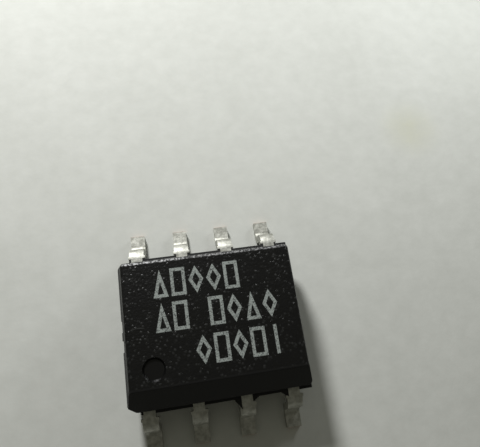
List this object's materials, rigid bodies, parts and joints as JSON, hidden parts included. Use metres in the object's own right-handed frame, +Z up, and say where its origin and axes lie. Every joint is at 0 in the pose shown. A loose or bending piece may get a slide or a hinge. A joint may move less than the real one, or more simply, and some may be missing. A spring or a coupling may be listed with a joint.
{
  "type": "small-outline chip package",
  "caption": "Black moulded small-outline chip package with gull-wing leads on two sides, a bevelled edge and an orientation dimple, holding a die on a paddle with bond wires.",
  "frame": {"origin": "centre of the seating plane, on the surface that the eight feet stand on", "axes": "+X along the lead rows from lead 1 to lead 4, +Y across the rows towards leads 5 to 8, +Z up out of the top face"},
  "size_m": [0.005, 0.006, 0.0016],
  "materials": {
    "mould_compound": "matte, fine bright speckle on both large faces, smooth on the drafted walls",
    "lead_plating": "satin tin plating, dull, scuffed along the bends",
    "frame_copper": "bare rolled copper alloy",
    "die_adhesive": "silver-filled epoxy",
    "silicon": "polished silicon",
    "bond_gold": "drawn gold wire"
  },
  "bodies": {
    "root": {"package_body": "mould_compound", "lead_1": "lead_plating", "lead_2": "lead_plating", "lead_3": "lead_plating", "lead_4": "lead_plating", "lead_5": "lead_plating", "lead_6": "lead_plating", "lead_7": "lead_plating", "lead_8": "lead_plating", "die_paddle": "frame_copper", "die_attach": "die_adhesive", "silicon_die": "silicon", "bond_wire_1": "bond_gold", "bond_wire_2": "bond_gold", "bond_wire_3": "bond_gold", "bond_wire_4": "bond_gold", "bond_wire_5": "bond_gold", "bond_wire_6": "bond_gold", "bond_wire_7": "bond_gold", "bond_wire_8": "bond_gold"}
  },
  "joints": []
}
